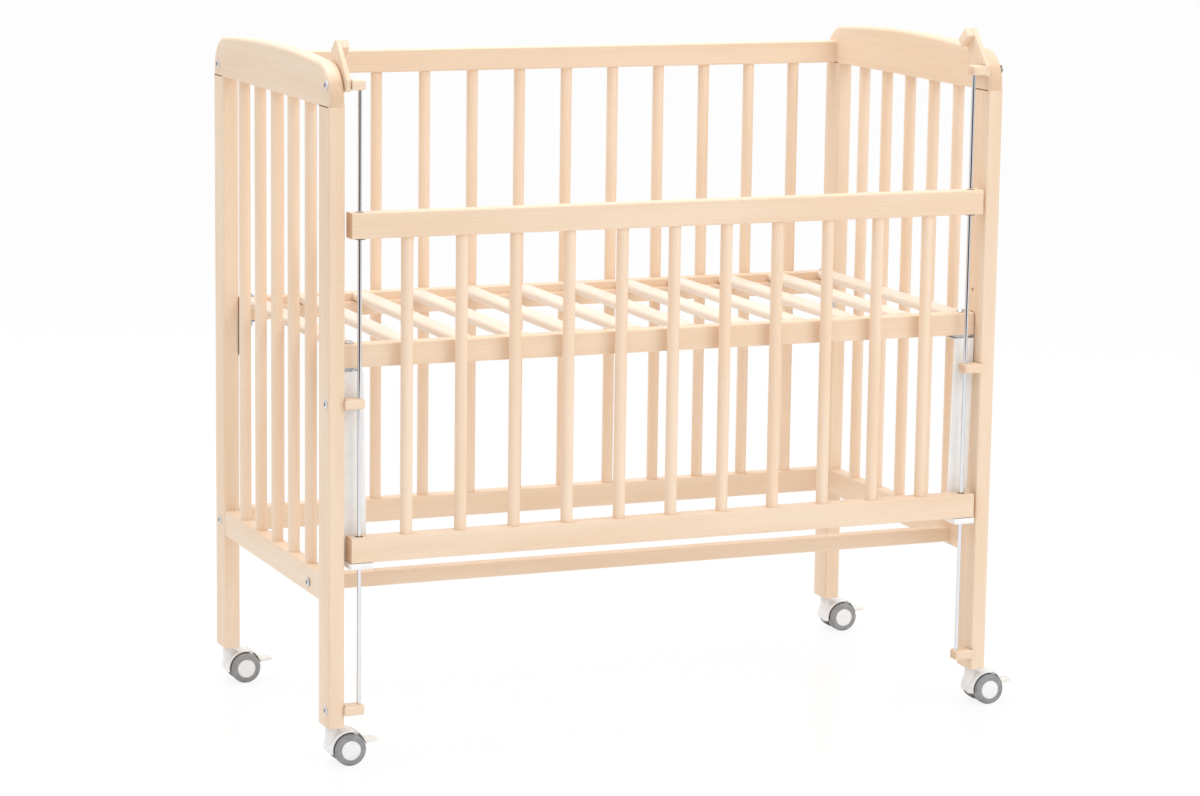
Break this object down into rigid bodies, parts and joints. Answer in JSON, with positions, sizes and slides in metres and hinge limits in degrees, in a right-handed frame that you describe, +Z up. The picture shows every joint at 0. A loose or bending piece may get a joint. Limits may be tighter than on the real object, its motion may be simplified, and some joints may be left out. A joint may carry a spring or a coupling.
{
  "type": "bedside sleeper crib",
  "caption": "Beech bedside crib on castors with a slatted base, a front side that slides down on steel rods, and swing latches that hold it up",
  "frame": {"origin": "on the floor, under the middle of the whole outline", "axes": "+X along the crib's length to the right end, +Y from the sliding front to the fixed rear, +Z up"},
  "size_m": [1.0176, 0.51, 0.9441],
  "materials": {
    "beech": "pale beech, clear matt lacquer",
    "rod_chrome": "polished chromed steel",
    "fastener_steel": "bright zinc plated steel",
    "zinc_plate": "zinc plated sheet steel",
    "white_paint": "white powder coat",
    "white_plastic": "moulded, soft gloss",
    "dark_plastic": "moulded, matt",
    "grey_tyre": "matt grey tread",
    "milky_plastic": "milky translucent"
  },
  "bodies": {
    "frame": {"left_front_post": "beech", "left_rear_post": "beech", "right_front_post": "beech", "right_rear_post": "beech", "left_top_rail": "beech", "right_top_rail": "beech", "left_low_rail": "beech", "right_low_rail": "beech", "left_spindles": "beech", "right_spindles": "beech", "rear_top_rail": "beech", "rear_low_rail": "beech", "rear_spindles": "beech", "front_stretcher": "beech", "frame_dowels": "beech", "frame_bolts": "fastener_steel", "barrel_nuts": "fastener_steel", "top_brackets": "beech", "middle_brackets": "beech", "bottom_brackets": "beech", "bracket_screws": "fastener_steel", "left_guide_rod": "rod_chrome", "right_guide_rod": "rod_chrome", "bed_front_rail": "beech", "bed_rear_rail": "beech", "bed_slats": "beech", "bed_supports": "zinc_plate", "bed_bolts": "fastener_steel", "bed_washers": "fastener_steel", "bed_nuts": "fastener_steel", "support_screws": "fastener_steel", "left_hanger_strap": "white_paint", "right_hanger_strap": "white_paint", "left_hanger_foot": "white_plastic", "right_hanger_foot": "white_plastic", "caster_stems": "fastener_steel"},
    "drop_side": {"drop_top_rail": "beech", "drop_low_rail": "beech", "drop_spindles": "beech", "drop_bushes": "dark_plastic"},
    "left_latch_arm": {"left_latch": "beech"},
    "right_latch_arm": {"right_latch": "beech"},
    "left_front_swivel": {"left_front_caster_housing": "white_plastic"},
    "left_front_wheels": {"left_front_caster_tyres": "grey_tyre", "left_front_caster_hubs": "white_plastic"},
    "left_front_brake": {"left_front_caster_pedal": "milky_plastic"},
    "left_rear_swivel": {"left_rear_caster_housing": "white_plastic"},
    "left_rear_wheels": {"left_rear_caster_tyres": "grey_tyre", "left_rear_caster_hubs": "white_plastic"},
    "left_rear_brake": {"left_rear_caster_pedal": "milky_plastic"},
    "right_front_swivel": {"right_front_caster_housing": "white_plastic"},
    "right_front_wheels": {"right_front_caster_tyres": "grey_tyre", "right_front_caster_hubs": "white_plastic"},
    "right_front_brake": {"right_front_caster_pedal": "milky_plastic"},
    "right_rear_swivel": {"right_rear_caster_housing": "white_plastic"},
    "right_rear_wheels": {"right_rear_caster_tyres": "grey_tyre", "right_rear_caster_hubs": "white_plastic"},
    "right_rear_brake": {"right_rear_caster_pedal": "milky_plastic"}
  },
  "joints": [
    {"name": "drop_slide", "type": "slide", "parent": "frame", "child": "drop_side", "axis": [0, 0, 1], "range_m": [0, 0.1535]},
    {"name": "left_latch_swing", "type": "hinge", "parent": "frame", "child": "left_latch_arm", "pos_m": [-0.48075, -0.237, 0.884], "axis": [-1, 0, 0], "range_deg": [0, 138]},
    {"name": "right_latch_swing", "type": "hinge", "parent": "frame", "child": "right_latch_arm", "pos_m": [0.42825, -0.237, 0.884], "axis": [-1, 0, 0], "range_deg": [0, 138]},
    {"name": "left_front_swivel_turn", "type": "hinge", "parent": "frame", "child": "left_front_swivel", "pos_m": [-0.49525, -0.226, 0.045], "axis": [0, 0, 1], "continuous": true},
    {"name": "left_front_wheel_roll", "type": "hinge", "parent": "left_front_swivel", "child": "left_front_wheels", "pos_m": [-0.47525, -0.226, 0.021], "axis": [0, 1, 0], "continuous": true},
    {"name": "left_front_brake_lift", "type": "hinge", "parent": "left_front_swivel", "child": "left_front_brake", "pos_m": [-0.46363, -0.226, 0.04482], "axis": [0, -1, 0], "range_deg": [0, 14]},
    {"name": "left_rear_swivel_turn", "type": "hinge", "parent": "frame", "child": "left_rear_swivel", "pos_m": [-0.49525, 0.232, 0.045], "axis": [0, 0, 1], "continuous": true},
    {"name": "left_rear_wheel_roll", "type": "hinge", "parent": "left_rear_swivel", "child": "left_rear_wheels", "pos_m": [-0.47525, 0.232, 0.021], "axis": [0, 1, 0], "continuous": true},
    {"name": "left_rear_brake_lift", "type": "hinge", "parent": "left_rear_swivel", "child": "left_rear_brake", "pos_m": [-0.46363, 0.232, 0.04482], "axis": [0, -1, 0], "range_deg": [0, 14]},
    {"name": "right_front_swivel_turn", "type": "hinge", "parent": "frame", "child": "right_front_swivel", "pos_m": [0.44275, -0.226, 0.045], "axis": [0, 0, 1], "continuous": true},
    {"name": "right_front_wheel_roll", "type": "hinge", "parent": "right_front_swivel", "child": "right_front_wheels", "pos_m": [0.46275, -0.226, 0.021], "axis": [0, 1, 0], "continuous": true},
    {"name": "right_front_brake_lift", "type": "hinge", "parent": "right_front_swivel", "child": "right_front_brake", "pos_m": [0.47437, -0.226, 0.04482], "axis": [0, -1, 0], "range_deg": [0, 14]},
    {"name": "right_rear_swivel_turn", "type": "hinge", "parent": "frame", "child": "right_rear_swivel", "pos_m": [0.44275, 0.232, 0.045], "axis": [0, 0, 1], "continuous": true},
    {"name": "right_rear_wheel_roll", "type": "hinge", "parent": "right_rear_swivel", "child": "right_rear_wheels", "pos_m": [0.46275, 0.232, 0.021], "axis": [0, 1, 0], "continuous": true},
    {"name": "right_rear_brake_lift", "type": "hinge", "parent": "right_rear_swivel", "child": "right_rear_brake", "pos_m": [0.47437, 0.232, 0.04482], "axis": [0, -1, 0], "range_deg": [0, 14]}
  ]
}
